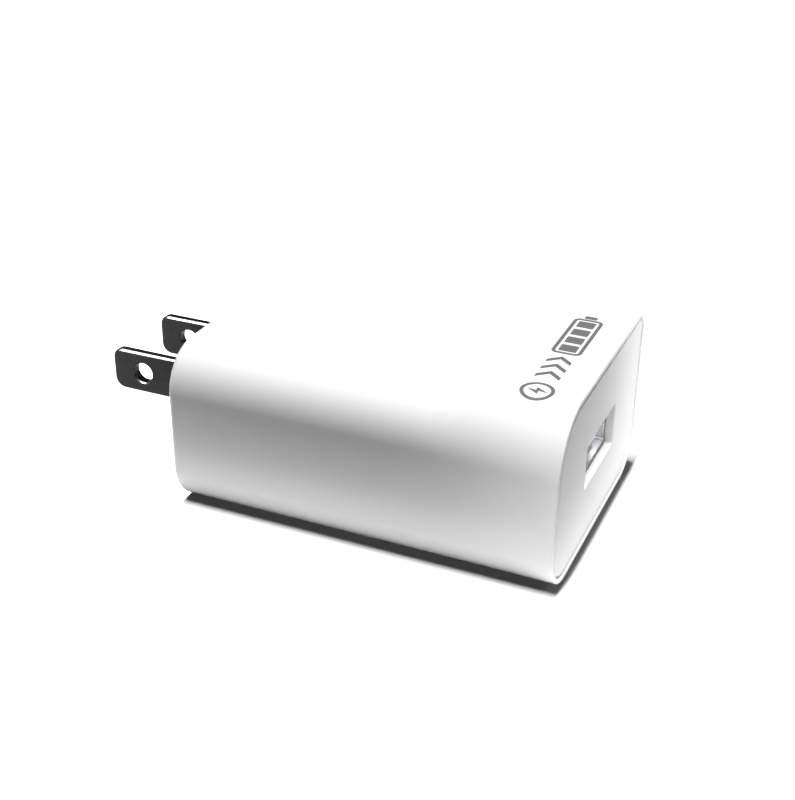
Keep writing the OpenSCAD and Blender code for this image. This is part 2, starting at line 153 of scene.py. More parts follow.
def offset_in(outline: Array, amount: float) -> Array:
    """Moves a closed anticlockwise outline inwards.

    Each point goes along the mean of its two edges' inward normals, stretched
    by the half-angle's cosine so that the edges stay parallel.

    Args:
        outline: the outline's points.
        amount: how far inwards, or outwards where it is negative.

    Returns:
        The moved points.
    """
    edge = np.roll(outline, -1, axis=0) - outline
    normal = np.stack([-edge[:, 1], edge[:, 0]], 1) / np.linalg.norm(edge, axis=1)[:, None]
    mean = normal + np.roll(normal, 1, axis=0)
    mean /= np.maximum((mean * mean).sum(1), MITRE)[:, None] / 2.0
    return outline + amount * mean


def stand_up(outline: Array, x: float | Array) -> Array:
    """Gives a y-z outline its place along x."""
    return np.column_stack([np.broadcast_to(x, len(outline)), outline])


def rounding(radius: float, count: int = 5) -> Array:
    """A quarter round over an edge, as rows of (depth from the face, inset from the side).

    Depth is the radius times one less the sine, inset the radius times one
    less the cosine, from the side (angle 0) to the face (angle 90).
    """
    angle = np.radians(np.linspace(0.0, 90.0, count))
    return radius * np.stack([1.0 - np.sin(angle), 1.0 - np.cos(angle)], 1)


def soft_box(low: tuple[float, float, float], high: tuple[float, float, float], soft: float) -> list[Array]:
    """Loops across x of a box with its edges chamfered.

    Args:
        low: its corner at the least x, y and z.
        high: the opposite corner.
        soft: how far each chamfer runs.

    Returns:
        Four loops, from the least x to the greatest.
    """
    (x0, y0, z0), (x1, y1, z1) = low, high
    full = rounded_box(y1 - y0, z1 - z0, soft, 3)
    middle = np.array([(y0 + y1) / 2, (z0 + z1) / 2])
    inner = full * np.array([1 - 2 * soft / (y1 - y0), 1 - 2 * soft / (z1 - z0)])
    line = [(x0, inner), (x0 + soft, full), (x1 - soft, full), (x1, inner)]
    return [stand_up(outline + middle, x) for x, outline in line]


class Draft:
    """Points and faces gathered as arrays, then made one mesh."""

    def __init__(self) -> None:
        """Starts with nothing."""
        self.points: list[Array] = []
        self.faces: list[tuple[int, ...]] = []
        self.count = 0

    def add(self, points: Array) -> Array:
        """Adds points.

        Args:
            points: their places, in rows of any layout.

        Returns:
            Their numbers, in the same layout.
        """
        flat = points.reshape(-1, 3)
        self.points.append(flat)
        numbers = np.arange(self.count, self.count + len(flat)).reshape(points.shape[:-1])
        self.count += len(flat)
        return numbers

    def skin(self, numbers: Array, closed: bool = True) -> None:
        """Joins each row of a grid to the next with four-sided faces.

        Args:
            numbers: point numbers, one row per ring.
            closed: whether each ring joins its own start.
        """
        right = np.roll(numbers, -1, axis=1) if closed else numbers[:, 1:]
        left = numbers if closed else numbers[:, :-1]
        quads = np.stack([left[:-1], right[:-1], right[1:], left[1:]], -1).reshape(-1, 4)
        self.faces += [tuple(q) for q in quads.tolist()]

    def rings(self, loops: list[Array]) -> Array:
        """Skins a run of closed loops.

        Args:
            loops: the loops in order, with equal point counts.

        Returns:
            Their point numbers, one row per loop.
        """
        numbers = self.add(np.stack(loops))
        self.skin(numbers)
        return numbers

    def torus(self, loops: list[Array]) -> Array:
        """As rings, with the last loop joined to the first.

        Args:
            loops: the loops in order, with equal point counts.

        Returns:
            Their point numbers, one row per loop.
        """
        numbers = self.add(np.stack(loops))
        self.skin(np.vstack([numbers, numbers[:1]]))
        return numbers

    def bar(self, loops: list[Array]) -> None:
        """Skins a run of loops across x and fills both ends.

        Args:
            loops: the loops in order, with equal point counts.
        """
        numbers = self.rings(loops)
        for end in (numbers[0], numbers[-1]):
            self.cap([end], Flat.YZ)

    def cap(self, loops: list[Array], plane: Flat) -> None:
        """Fills a flat face between an outer loop and any holes.

        Args:
            loops: point numbers of the outer loop, then of each hole.
            plane: the plane that the face is divided in.
        """
        stock = np.concatenate(self.points)
        numbers = np.concatenate(loops)
        flat = stock[numbers][:, list(plane.value)] / MM
        ends = np.cumsum([len(loop) for loop in loops]).tolist()
        outlines = [list(range(end - len(loop), end)) for end, loop in zip(ends, loops)]
        coords = [Vector(p) for p in flat.tolist()]
        _, _, faces, origin, _, _ = delaunay_2d_cdt(coords, [], outlines, 2, TOUCH)
        self.faces += [tuple(int(numbers[origin[i][0]]) for i in f) for f in faces]

    def make(self, name: str, sharp: float = 35.0) -> bpy.types.Object:
        """Merges the seams and turns the faces outwards.

        Args:
            name: the new piece's name.
            sharp: edges that turn by more than this many degrees stay sharp.

        Returns:
            The new object, at the origin.
        """
        mesh = bpy.data.meshes.new(name)
        mesh.from_pydata(np.concatenate(self.points).tolist(), [], self.faces)
        work = bmesh.new()
        work.from_mesh(mesh)
        bmesh.ops.remove_doubles(work, verts=work.verts, dist=MERGE)
        bmesh.ops.dissolve_degenerate(work, edges=work.edges, dist=MERGE)
        bmesh.ops.recalc_face_normals(work, faces=work.faces)
        work.to_mesh(mesh)
        work.free()
        mesh.polygons.foreach_set("use_smooth", np.ones(len(mesh.polygons), bool))
        mesh.set_sharp_from_angle(angle=math.radians(sharp))
        piece = bpy.data.objects.new(name, mesh)
        bpy.context.scene.collection.objects.link(piece)
        return piece


# ---- shading -----------------------------------------------------------------


def linear(code: str) -> tuple[float, float, float, float]:
    """Turns an sRGB hex colour into linear red, green, blue and alpha."""
    parts = [int(code[i : i + 2], 16) / 255 for i in (1, 3, 5)]
    return (*(c / 12.92 if c <= 0.04045 else ((c + 0.055) / 1.055) ** 2.4 for c in parts), 1.0)


def add_node(
    tree: bpy.types.NodeTree, kind: str, settings: dict | None = None, links: dict | None = None
) -> bpy.types.Node:
    """Adds one shader node.

    Args:
        tree: the node tree that takes it.
        kind: the node's type.
        settings: values by the name of a setting, or by the name or number of an input.
        links: the output that feeds each input, by the input's name or number.

    Returns:
        The node.
    """
    node = tree.nodes.new(kind)
    for key, value in (settings or {}).items():
        if isinstance(key, int) or key in node.inputs:
            node.inputs[key].default_value = value
        else:
            setattr(node, key, value)
    for key, source in (links or {}).items():
        tree.links.new(source, node.inputs[key])
    return node


@dataclass(frozen=True)
class Finish:
    """A material: its name, its base and how its surface was made.

    The grain is the width of its marks and the relief their depth. The mottle
    is how much its tone varies, and the spread how much its gloss does.
    """

    name: str
    colour: str
    roughness: float
    metallic: float = 0.0
    ior: float = 1.5
    grain: float = 0.4 * MM
    relief: float = 2e-6
    mottle: float = 0.04
    spread: float = 0.15

    def build(self) -> bpy.types.Material:
        """Makes the material: base, pattern, then fine relief.

        Returns:
            The material.
        """
        material = bpy.data.materials.new(self.name)
        material.use_nodes = True
        tree = material.node_tree
        shader = tree.nodes["Principled BSDF"]
        shader.inputs["Roughness"].default_value = self.roughness
        shader.inputs["Metallic"].default_value = self.metallic
        if not self.metallic:
            shader.inputs["IOR"].default_value = self.ior
        where = add_node(tree, "ShaderNodeTexCoord").outputs["Object"]
        self.dress(tree, shader, where)
        return material

    def tint(self, tree: bpy.types.NodeTree, where: bpy.types.NodeSocket) -> bpy.types.NodeSocket:
        """The base colour with a faint, cloudy change of tone some grains wide.

        Args:
            tree: the material's nodes.
            where: the object's coordinates.

        Returns:
            The output that carries the colour.
        """
        cloud = add_node(
            tree, "ShaderNodeTexNoise", {"Scale": CLOUD / self.grain, "Detail": 2.0}, {"Vector": where}
        )
        base = linear(self.colour)
        dark = (*(c * (1.0 - self.mottle) for c in base[:3]), 1.0)
        mix = add_node(
            tree, "ShaderNodeMix", {"data_type": "RGBA", 6: dark, 7: base}, {0: cloud.outputs["Fac"]}
        )
        return mix.outputs[2]

    def dress(self, tree: bpy.types.NodeTree, shader: bpy.types.Node, where: bpy.types.NodeSocket) -> None:
        """Links the tone, the spread of the gloss and the grain to the shader.

        Args:
            tree: the material's nodes.
            shader: its surface shader.
            where: the object's coordinates.
        """
        tree.links.new(self.tint(tree, where), shader.inputs["Base Color"])
        noise = add_node(
            tree, "ShaderNodeTexNoise", {"Scale": 1.0 / self.grain, "Detail": 3.0}, {"Vector": where}
        )
        self.vary_gloss(tree, shader, noise.outputs["Fac"])
        self.emboss(tree, shader, noise.outputs["Fac"], self.relief)

    def vary_gloss(
        self, tree: bpy.types.NodeTree, shader: bpy.types.Node, pattern: bpy.types.NodeSocket
    ) -> None:
        """Lets the roughness follow a pattern, between its value less and plus the spread.

        Args:
            tree: the material's nodes.
            shader: its surface shader.
            pattern: the output that gives the pattern, from 0 to 1.
        """
        low, high = self.roughness * (1.0 - self.spread), self.roughness * (1.0 + self.spread)
        gloss = add_node(tree, "ShaderNodeMapRange", {"To Min": low, "To Max": high}, {"Value": pattern})
        tree.links.new(gloss.outputs["Result"], shader.inputs["Roughness"])

    def emboss(
        self, tree: bpy.types.NodeTree, shader: bpy.types.Node, height: bpy.types.NodeSocket, depth: float
    ) -> None:
        """Presses a height pattern into the surface.

        Args:
            tree: the material's nodes.
            shader: its surface shader.
            height: the output that gives the pattern, from 0 to 1.
            depth: how deep it goes, in metres.
        """
        bump = add_node(tree, "ShaderNodeBump", {"Distance": depth, "Strength": 1.0}, {"Height": height})
        tree.links.new(bump.outputs["Normal"], shader.inputs["Normal"])


@dataclass(frozen=True)
class Striped(Finish):
    """A finish crossed by even stripes: wound wire, tape edges or colour bands."""

    second: str = "#000000"
    pitch: float = 0.4 * MM
    axis: str = "X"
    stripe_depth: float = 30e-6
    share: float = 0.5
    edge: float = 0.3

    def dress(self, tree: bpy.types.NodeTree, shader: bpy.types.Node, where: bpy.types.NodeSocket) -> None:
        """Stripes from a sine along one axis, one every pitch, dark in the grooves; on wound wire that
        darkness is painted shade between the turns.

        Args:
            tree: the material's nodes.
            shader: its surface shader.
            where: the object's coordinates.
        """
        turns = add_node(
            tree,
            "ShaderNodeTexWave",
            {"bands_direction": self.axis, "Scale": WAVE / self.pitch, "Distortion": 0.0},
            {"Vector": where},
        )
        step = add_node(
            tree,
            "ShaderNodeMapRange",
            {"From Min": self.share - self.edge, "From Max": self.share + self.edge},
            {"Value": turns.outputs["Fac"]},
        )
        mix = add_node(
            tree,
            "ShaderNodeMix",
            {"data_type": "RGBA", 6: linear(self.second)},
            {0: step.outputs["Result"], 7: self.tint(tree, where)},
        )
        tree.links.new(mix.outputs[2], shader.inputs["Base Color"])
        self.emboss(tree, shader, turns.outputs["Fac"], self.stripe_depth)


@dataclass(frozen=True)
class Rolled(Finish):
    """Metal strip or sheet with fine lines along the way it was rolled."""

    spread: float = 0.3
    along: str = "X"
    stretch: float = 0.03

    def dress(self, tree: bpy.types.NodeTree, shader: bpy.types.Node, where: bpy.types.NodeSocket) -> None:
        """Noise stretched along the rolling direction gives both the gloss and the relief.

        Args:
            tree: the material's nodes.
            shader: its surface shader.
            where: the object's coordinates.
        """
        scale = tuple(self.stretch if a == self.along else 1.0 for a in "XYZ")
        drawn = add_node(tree, "ShaderNodeMapping", {"Scale": scale}, {"Vector": where})
        lines = add_node(
            tree,
            "ShaderNodeTexNoise",
            {"Scale": 1.0 / self.grain, "Detail": 4.0},
            {"Vector": drawn.outputs["Vector"]},
        )
        tree.links.new(self.tint(tree, where), shader.inputs["Base Color"])
        self.vary_gloss(tree, shader, lines.outputs["Fac"])
        self.emboss(tree, shader, lines.outputs["Fac"], self.relief)


@dataclass(frozen=True)
class Chip(Finish):
    """Fired chips in rows, each with a tinned terminal at both ends of its length."""

    terminal: str = "#C4C6C8"
    first_y: float = 0.0
    step_y: float = 4.5 * MM
    length: float = 3.2 * MM
    terminal_l: float = 0.45 * MM

    def dress(self, tree: bpy.types.NodeTree, shader: bpy.types.Node, where: bpy.types.NodeSocket) -> None:
        """The distance from a chip's middle, repeated every row, splits body from terminals.

        Args:
            tree: the material's nodes.
            shader: its surface shader.
            where: the object's coordinates.
        """
        y = add_node(tree, "ShaderNodeSeparateXYZ", None, {0: where}).outputs["Y"]
        from_first = add_node(
            tree, "ShaderNodeMath", {"operation": "SUBTRACT", 1: self.first_y - self.step_y / 2}, {0: y}
        )
        in_row = add_node(
            tree,
            "ShaderNodeMath",
            {"operation": "FLOORED_MODULO", 1: self.step_y},
            {0: from_first.outputs[0]},
        )
        from_middle = add_node(
            tree, "ShaderNodeMath", {"operation": "SUBTRACT", 1: self.step_y / 2}, {0: in_row.outputs[0]}
        )
        reach = add_node(tree, "ShaderNodeMath", {"operation": "ABSOLUTE"}, {0: from_middle.outputs[0]})
        end = add_node(
            tree,
            "ShaderNodeMath",
            {"operation": "GREATER_THAN", 1: self.length / 2 - self.terminal_l},
            {0: reach.outputs[0]},
        )
        mix = add_node(
            tree,
            "ShaderNodeMix",
            {"data_type": "RGBA", 7: linear(self.terminal)},
            {0: end.outputs[0], 6: self.tint(tree, where)},
        )
        tree.links.new(mix.outputs[2], shader.inputs["Base Color"])
        tree.links.new(end.outputs[0], shader.inputs["Metallic"])


@dataclass(frozen=True)
class Laminate(Finish):
    """Green solder mask over copper tracks on woven glass laminate.

    The gap is how far from a cell's edge its copper starts, as a share of
    the pattern's own unit.
    """

    track: str = "#2F8A4E"
    track_pitch: float = 2.4 * MM
    weave_pitch: float = 0.5 * MM
    cell_scale: float = 0.4
    gap: float = 0.09

    def dress(self, tree: bpy.types.NodeTree, shader: bpy.types.Node, where: bpy.types.NodeSocket) -> None:
        """Straight-edged cells stand in for the copper under the mask, with the weave faintly through it.

        Args:
            tree: the material's nodes.
            shader: its surface shader.
            where: the object's coordinates.
        """
        areas = add_node(
            tree,
            "ShaderNodeTexVoronoi",
            {"feature": "DISTANCE_TO_EDGE", "Scale": self.cell_scale / self.track_pitch},
            {"Vector": where},
        )
        copper = add_node(
            tree,
            "ShaderNodeMath",
            {"operation": "GREATER_THAN", 1: self.gap},
            {0: areas.outputs["Distance"]},
        )
        mix = add_node(
            tree,
            "ShaderNodeMix",
            {"data_type": "RGBA", 7: linear(self.track)},
            {0: copper.outputs[0], 6: self.tint(tree, where)},
        )
        weave = add_node(tree, "ShaderNodeTexChecker", {"Scale": 1.0 / self.weave_pitch}, {"Vector": where})
        tree.links.new(mix.outputs[2], shader.inputs["Base Color"])
        self.emboss(tree, shader, weave.outputs["Fac"], self.relief)


# White PC/ABS moulded in a polished tool: a wet-looking gloss with a faint long ripple.
SLEEVE_PLASTIC = Finish(
    "white_pc_abs_polished_mould", "#ECECEC", 0.16, ior=1.58, grain=2.2 * MM, relief=1.5e-6, mottle=0.01
)
# The cover comes from a finely sparked tool, so its gloss is a little softer.
COVER_PLASTIC = Finish(
    "white_pc_abs_satin_mould", "#E8E8E8", 0.3, ior=1.58, grain=0.3 * MM, relief=1.5e-6, mottle=0.01
)
# Nickel over stamped brass, with lines along the strip. Its dark grey base colour is a painted reflection:
# it stands in for the dark surroundings that the polished blades mirror.
BLADE_METAL = Rolled(
    "nickel_plated_brass_painted_dark_reflection", "#3C3C3D", 0.3, metallic=1.0, grain=0.25 * MM, relief=2e-6
)
# Bright nickel over folded steel sheet: light, nearly mirror-like.
SOCKET_STEEL = Rolled(
    "bright_nickel_plated_steel_sheet", "#C9CACC", 0.2, metallic=1.0, grain=0.2 * MM, relief=1.5e-6
)
# Glass-filled polyester, moulded: dull white with a dusty grain.
SOCKET_RESIN = Finish(
    "white_glass_filled_polyester_moulded", "#ECECEA", 0.5, grain=0.12 * MM, relief=4e-6, mottle=0.03
)
# Gold flash over bronze strip: warm and smooth.
CONTACT_GOLD = Rolled(
    "gold_flashed_bronze_strip", "#E3BE6E", 0.22, metallic=1.0, grain=0.1 * MM, relief=1e-6
)
# Rolled brass spring strip: yellow, with rolling lines.
CONTACT_BRASS = Rolled(
    "rolled_brass_strip", "#C9A65C", 0.32, metallic=1.0, grain=0.15 * MM, relief=2e-6, along="Z"
)
# Solder mask over copper: glossy green, lighter where copper lies beneath.
BOARD_LAMINATE = Laminate(
    "green_masked_glass_epoxy_laminate", "#1B5E34", 0.28, ior=1.55, relief=6e-6
)
# Cement-coated resistor: dull blue-green body with colour bands.
RESISTOR_COAT = Striped(
    "blue_green_cement_coat", "#7FA6A1", 0.6, grain=0.2 * MM,
    second="#3A2A20", pitch=1.6 * MM, axis="Y", stripe_depth=3e-6, share=0.18
)
# Moulded epoxy of chip packages: matte black.
PACKAGE_RESIN = Finish(
    "black_moulded_epoxy_package", "#1A1B1D", 0.55, grain=0.1 * MM, relief=5e-6, mottle=0.2
)
# Drawn aluminium can: bright with lines along its depth.
CAN_METAL = Rolled(
    "drawn_aluminium_can", "#D2D4D6", 0.25, metallic=1.0, grain=0.15 * MM, relief=2e-6, along="Z"
)
# Heat-shrunk film: black and glossy.
SLEEVE_FILM = Finish(
    "black_shrunk_polyester_film", "#1C2027", 0.22, ior=1.57, grain=0.8 * MM, relief=6e-6
)
# Ground ferrite: dense dark grey ceramic with a fine sparkle.
FERRITE = Finish(
    "ground_manganese_zinc_ferrite", "#303136", 0.38, ior=2.2, grain=0.08 * MM, relief=3e-6, mottle=0.25
)
# Enamelled copper wire, wound: red-brown turns with a lacquer shine, and painted shade in dark brown
# between the turns.
COPPER_WIRE = Striped(
    "wound_enamelled_copper_wire", "#B4673A", 0.3, metallic=1.0,
    second="#4A2413", pitch=0.3 * MM, axis="X", stripe_depth=60e-6
)
# The choke is wound round an upright core; the dark brown between its turns is painted shade as well.
CHOKE_WIRE = Striped(
    "choke_enamelled_copper_wire", "#B4673A", 0.3, metallic=1.0,
    second="#4A2413", pitch=0.35 * MM, axis="Z", stripe_depth=60e-6
)
# Polyester tape: yellow, glossy, with the turns' edges showing.
TAPE_FILM = Striped(
    "yellow_polyester_tape", "#D9AE2F", 0.25, ior=1.6,
    second="#B88A1C", pitch=6.0 * MM, axis="X", stripe_depth=10e-6
)
# Tinned copper wire: soft silver.
TINNED_WIRE = Rolled(
    "tinned_copper_wire", "#C6C8CA", 0.3, metallic=1.0, grain=0.1 * MM, relief=2e-6, along="Z"
)
# Reflowed solder: bright, faintly dimpled.
SOLDER = Finish(
    "reflowed_solder", "#C9CBCD", 0.24, metallic=1.0, grain=0.25 * MM, relief=10e-6, mottle=0.1
)
# Dipped epoxy of the safety capacitor: thick glossy blue.
DISC_EPOXY = Finish("blue_dipped_epoxy", "#2C5FB0", 0.2, ior=1.55, grain=0.9 * MM, relief=25e-6)
# Glazed chip resistors: black tops, tinned ends.
CHIP_DARK = Chip("glazed_thick_film_chip", "#1B1B1D", 0.35, first_y=2.5 * MM, step_y=4.5 * MM)
# Fired chip capacitors: tan bodies, tinned ends.
CHIP_TAN = Chip("fired_ceramic_chip", "#A98B5C", 0.45, first_y=-6.6 * MM, step_y=4.4 * MM)
# Pressed fibre card: pale, dull and fibrous.
FIBRE_CARD = Finish(
    "pressed_fibre_card", "#CBBE9C", 0.85, grain=0.35 * MM, relief=20e-6, mottle=0.15
)
# Pad-printed ink: flat mid grey with a slightly uneven edge to its gloss.
MARK_INK = Finish("grey_pad_print_ink", "#6C6C6E", 0.5, grain=0.25 * MM, relief=2e-6, mottle=0.06)
# Painted studio floor: dull grey, bleached by its own lamps.
FLOOR_PAINT = Finish("grey_painted_floor", "#838383", 0.9, grain=2.0 * MM, relief=0.0, mottle=0.0)
# Bounce board: dull, and throws back half the light. Polished faces mirror it in place of the floor.
BOARD_PAINT = Finish(
    "mid_grey_bounce_board", "#BCBCBC", 0.95, grain=2.0 * MM, relief=0.0, mottle=0.0
)
# Black cloth of the flags that keep light off the sides.
FLAG_CLOTH = Finish("black_flag_cloth", "#020202", 1.0, grain=2.0 * MM, relief=0.0, mottle=0.0)


# ---- the sleeve --------------------------------------------------------------


@dataclass
class Sleeve:
    """The moulded sleeve: closed at the plug end, open at the USB end, with ledges for the board.

    A support is a ring or point beside a rounding, which keeps its shading
    out of the flat next to it.
    """

    near_r_rear: float = 6.5 * MM
    near_r_front: float = 8.1 * MM
    far_r: float = 3.0 * MM
    base_r: float = 6.3 * MM
    rear_h: float = 23.7 * MM
    step_from: float = 36.0 * MM
    step_to: float = 43.5 * MM
    rear_edge_r: float = 0.9 * MM
    rim_edge_r: float = 0.2 * MM
    rim_inner_r: float = 0.12 * MM
    rim_t: float = 0.7 * MM
    cover_t: float = 1.6 * MM
    wall: float = 1.8 * MM
    plug_wall: float = 3.2 * MM
    ledge_t: float = 1.2 * MM
    ledge_gap: float = 0.12 * MM
    ledge_lap: float = 0.4 * MM
    ledge_setback: float = 5.0 * MM
    slot_play: float = 0.05 * MM
    slot_r: float = 0.3 * MM
    blade_w: float = 6.35 * MM
    support: float = 0.25 * MM
    flat_run: float = 4.0 * MM
    arc_n: int = 24
    step_n: int = 25
    ledge_n: int = 13
    rear_n: int = 9
    rim_n: int = 7
    rim_inner_n: int = 4
    low: Vector = field(init=False)
    high: Vector = field(init=False)
    board_z: tuple[float, float] = field(init=False)
    board_y: float = field(init=False)
    seat_x: float = field(init=False)
    ledge_d: float = field(init=False)

    def __post_init__(self) -> None:
        """Takes the overall box, the board's place and the cover's seat from the frame."""
        self.low, self.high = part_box("housing")
        board_low, board_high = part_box("main_board")
        self.board_z = (board_low.z, board_high.z)
        self.board_y = board_high.y
        self.seat_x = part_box("front_cover")[1].x - self.cover_t
        self.ledge_d = self.high.y - self.wall - self.board_y + self.ledge_lap

    def step_at(self, x: Array | float) -> Array:
        """How much of the step in the top face has risen at x."""
        return smooth((np.asarray(x) - self.step_from) / (self.step_to - self.step_from))

    def top_at(self, x: Array | float) -> Array:
        """Height of the top face at x."""
        rear = self.low.z + self.rear_h
        return rear + (self.high.z - rear) * self.step_at(x)

    def near_r_at(self, x: Array | float) -> Array:
        """Radius of the near top edge at x."""
        return self.near_r_rear + (self.near_r_front - self.near_r_rear) * self.step_at(x)

    def crown_at(self, x: Array, y: Array) -> Array:
        """Height of the top face over a point: flat, then the fall of the near edge's quarter circle.

        Args:
            x: the places along the sleeve.
            y: the places across it.

        Returns:
            The heights.
        """
        radius = self.near_r_at(x)
        past = np.maximum(self.low.y + radius - y, 0.0)
        return self.top_at(x) - radius + np.sqrt(radius * radius - past * past)

    def section(self, x: float, inset: float, ledge: float = 0.0) -> Array:
        """The sleeve's section at x, anticlockwise from the far side.

        Four quarter circles of their own radii joined by straight runs. The
        runs have a point close to each end, and the lower ones carry the
        ledges that hold the board.

        Args:
            x: the place along the sleeve.
            inset: how far inside the outer surface.
            ledge: how far the ledges stand out.

        Returns:
            Points as (y, z).
        """
        y = self.high.y - inset
        lip, t = y - ledge, self.ledge_t
        top, low = float(self.top_at(x)) - inset, self.low.z + inset
        rn, rf, rb = float(self.near_r_at(x)) - inset, self.far_r - inset, self.base_r - inset
        under, over = self.board_z[0] - self.ledge_gap, self.board_z[1] + self.ledge_gap
        near = [(-y, under), (-lip, under), (-lip, under - t), (-y, under - t)]
        far_low = [(y, under - t), (lip, under - t), (lip, under), (y, under)]
        far_high = [(y, over), (lip, over), (lip, over + t), (y, over + t)]
        parts = [
            arc((y - rf, top - rf), rf, 0, 90, self.arc_n),
            arc((-y + rn, top - rn), rn, 90, 90, self.arc_n),
            np.array(near),
            arc((-y + rb, low + rb), rb, 180, 90, self.arc_n),
            arc((y - rb, low + rb), rb, 270, 90, self.arc_n),
            np.array(far_low),
            np.array(far_high),
        ]
        return self.with_supports(parts)

    @staticmethod
    def with_supports(parts: list[Array], share: float = 0.04) -> Array:
        """Joins the parts of a loop, with a point near each end of every straight run between them.

        Args:
            parts: the loop's curves and corners, in order.
            share: how far each point lies from its end, as a share of the run.

        Returns:
            The whole loop.
        """
        pieces = []
        for part, following in zip(parts, parts[1:] + parts[:1]):
            gap = following[0] - part[-1]
            pieces += [part, part[-1] + gap * share, part[-1] + gap * (1 - share)]
        return np.vstack(pieces)

    def loop(self, x: float, inset: float, ledge: float = 0.0) -> Array:
        """A section in its place."""
        return stand_up(self.section(x, inset, ledge), x)

    def outer_loops(self) -> list[Array]:
        """Over the plug edge, along the outside with its step, and round the rim's outer edge.

        Returns:
            The loops, from the plug face to the rim.
        """
        line = [(d, i) for d, i in rounding(self.rear_edge_r, self.rear_n)[::-1]]
        supports = [self.rear_edge_r + self.support, self.flat_run, self.step_from - self.flat_run]
        steps = np.linspace(self.step_from, self.step_to, self.step_n)
        line += [(x, 0.0) for x in (*supports, *steps)]
        line += [(self.high.x - self.rim_edge_r - self.support, 0.0)]
        line += [(self.high.x - d, i) for d, i in rounding(self.rim_edge_r, self.rim_n)]
        return [self.loop(x, i) for x, i in line]

    def inner_loops(self) -> list[Array]:
        """Round the rim's inner edge, down to the cover's seat and back along the inside.

        Returns:
            The loops, from the rim to the inside of the plug wall.
        """
        turn = rounding(self.rim_inner_r, self.rim_inner_n)[::-1]
        line = [(self.high.x - d, self.rim_t - i, 0.0) for d, i in turn]
        line += [(self.seat_x, self.rim_t, 0.0), (self.seat_x, self.wall, 0.0)]
        front = self.seat_x - self.ledge_setback
        line += [(front, self.wall, 0.0), (front - self.ledge_lap, self.wall, self.ledge_d)]
        steps = np.linspace(self.step_to, self.step_from, self.ledge_n)
        line += [(x, self.wall, self.ledge_d) for x in steps]
        back = self.plug_wall + self.ledge_lap
        line += [(back + self.ledge_lap, self.wall, self.ledge_d), (back, self.wall, 0.0)]
        line += [(self.plug_wall, self.wall, 0.0)]
        return [self.loop(*row) for row in line]

    def build(self) -> bpy.types.Object:
        """Skins the cup and cuts the two blade slots through its end wall as the caps are filled.

        Returns:
            The sleeve, which stands for the CAD housing.
        """
        draft = Draft()
        numbers = draft.rings(self.outer_loops() + self.inner_loops())
        faces: list[list[Array]] = [[numbers[0]], [numbers[-1]]]
        for node in ("line_blade", "neutral_blade"):
            low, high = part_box(node)
            thick, wide = high.y - low.y + self.slot_play, self.blade_w + self.slot_play
            outline = rounded_box(thick, wide, self.slot_r)
            outline += np.array([(low.y + high.y) / 2, 0.0])
            flare = offset_in(outline, -self.slot_r)
            rim = [stand_up(flare, 0.0), stand_up(outline, self.slot_r), stand_up(outline, self.plug_wall)]
            slot = draft.rings(rim)
            faces[0].append(slot[0])
            faces[1].append(slot[-1])
        for face in faces:
            draft.cap(face, Flat.YZ)
        piece = draft.make("housing_sleeve")
        piece.data.materials.append(SLEEVE_PLASTIC.build())
        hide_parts("housing")
        return piece


@dataclass
class EndCover:
    """The inset end cover: a plate with the socket's cut-out and a skirt inside the sleeve."""

    sleeve: Sleeve
    port_w: float = 13.2 * MM
    port_h: float = 6.4 * MM
    port_r: float = 0.5 * MM
    port_edge_r: float = 0.22 * MM
    edge_r: float = 0.6 * MM
    gap: float = 0.08 * MM
    lip: float = 1.1 * MM
    skirt_t: float = 1.0 * MM
    pocket_w: float = 14.6 * MM
    pocket_h: float = 7.42 * MM
    pocket_r: float = 0.3 * MM
    edge_support: float = 1.0 * MM
    port_supports: tuple[float, float] = (1.0 * MM, 0.2 * MM)
    edge_n: int = 9
    port_edge_n: int = 6
    loop_n: int = 240

    def outer(self, inset: float) -> Array:
        """The sleeve's outline at its rim, moved in, with evenly spread points."""
        outline = self.sleeve.section(self.sleeve.high.x, inset)
        return resample(outline, self.loop_n, (self.sleeve.high.y, 0.0))

    def port(self, grow: float) -> Array:
        """The cut-out's outline, moved out, with as many points."""
        outline = rounded_box(self.port_w + 2 * grow, self.port_h + 2 * grow, self.port_r + grow)
        return resample(outline, self.loop_n, (self.port_w / 2, 0.0))

    def pocket(self) -> Array:
        """The outline of the room that the socket's flange takes behind the lip."""
        outline = rounded_box(self.pocket_w, self.pocket_h, self.pocket_r)
        return resample(outline, self.loop_n, (self.pocket_w / 2, 0.0))

    def build(self) -> bpy.types.Object:
        """Carries one section of the plate and its skirt round from the rim's outline to the cut-out's.

        Returns:
            The cover, which stands for the CAD cover.
        """
        low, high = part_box("front_cover")
        face, back, end = high.x, self.sleeve.seat_x, low.x
        rim = self.sleeve.rim_t + self.gap
        inside = self.sleeve.wall + self.gap
        line = [(self.outer(rim + i), face - d) for d, i in rounding(self.edge_r, self.edge_n)]
        line += [(self.outer(rim + self.edge_support), face)]
        line += [(self.port(self.port_edge_r + away), face) for away in self.port_supports]
        turn = rounding(self.port_edge_r, self.port_edge_n)[::-1]
        line += [(self.port(i), face - d) for d, i in turn]
        line += [(self.port(0.0), face - self.lip), (self.pocket(), face - self.lip), (self.pocket(), back)]
        line += [(self.outer(inside + self.skirt_t), x) for x in (back, end)]
        line += [(self.outer(inside), x) for x in (end, back)]
        line += [(self.outer(rim), back)]
        draft = Draft()
        draft.torus([stand_up(outline, x) for outline, x in line])
        piece = draft.make("front_cover_plate")
        piece.data.materials.append(COVER_PLASTIC.build())
        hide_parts("front_cover")
        return piece


# ---- the plug ----------------------------------------------------------------


